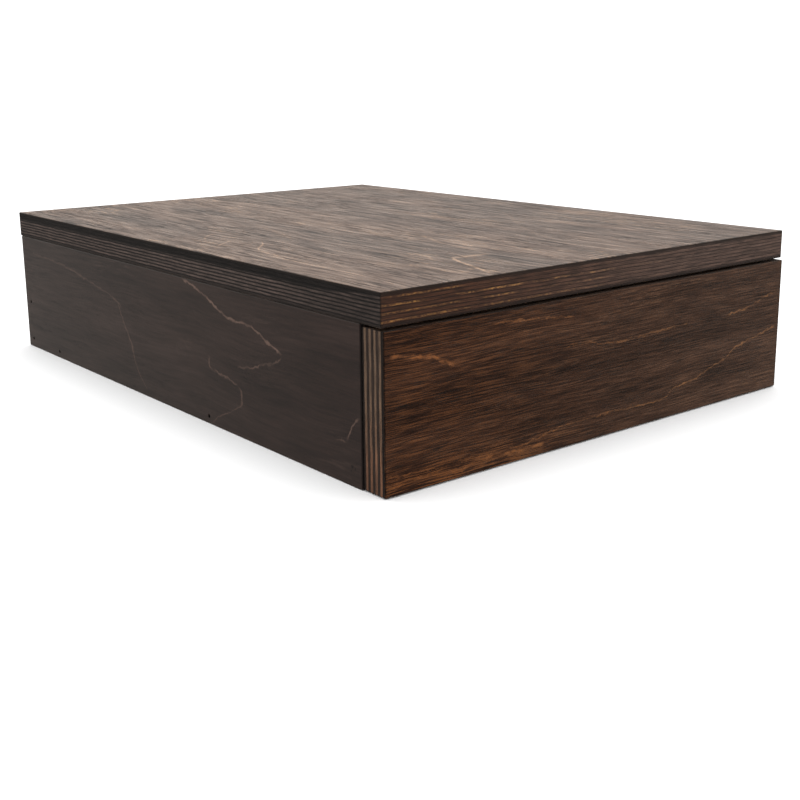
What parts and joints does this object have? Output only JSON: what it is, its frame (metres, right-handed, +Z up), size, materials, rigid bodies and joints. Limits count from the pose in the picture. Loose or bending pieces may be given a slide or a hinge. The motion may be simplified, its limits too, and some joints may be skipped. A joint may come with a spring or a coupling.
{
  "type": "wooden box with a hidden drawer",
  "caption": "Low dark-stained plywood box whose whole front slides out as a hidden drawer holding a black tray insert with a round recess, centre disc, corner well and green chips.",
  "frame": {"origin": "centre of the closed box's footprint, on the surface it stands on", "axes": "+X to the right seen from the drawer front, +Y from the drawer front to the back, +Z up"},
  "size_m": [0.222, 0.304, 0.07],
  "materials": {
    "top_ply": "dark-stained birch plywood, satin lacquer",
    "case_ply": "dark-stained birch plywood, satin lacquer",
    "front_ply": "dark-stained birch plywood, satin lacquer",
    "drawer_ply": "dark-stained birch plywood, satin",
    "runner_hardwood": "stained beech, waxed",
    "dowel_beech": "raw beech",
    "steel": "zinc-plated",
    "black_insert": "satin black sheet",
    "green_chips": "loose chopped chips"
  },
  "bodies": {
    "case": {"case_top": "top_ply", "case_left_side": "case_ply", "case_right_side": "case_ply", "case_back": "case_ply", "case_bottom": "case_ply", "left_runner": "runner_hardwood", "right_runner": "runner_hardwood", "case_dowels": "dowel_beech", "left_side_brads": "steel", "right_side_brads": "steel", "runner_screws": "steel"},
    "drawer": {"drawer_front": "front_ply", "drawer_floor": "drawer_ply", "left_groove_strip": "drawer_ply", "right_groove_strip": "drawer_ply", "rear_stop_strip": "drawer_ply", "left_drawer_rail": "drawer_ply", "right_drawer_rail": "drawer_ply", "rear_drawer_rail": "drawer_ply", "drawer_front_dowels": "dowel_beech", "drawer_rail_screws": "steel", "insert_base": "black_insert", "insert_plate": "black_insert", "insert_centre_disc": "black_insert", "green_chips": "green_chips"}
  },
  "joints": [
    {"name": "drawer_slide", "type": "slide", "parent": "case", "child": "drawer", "axis": [0, -1, 0], "range_m": [0, 0.19]}
  ]
}
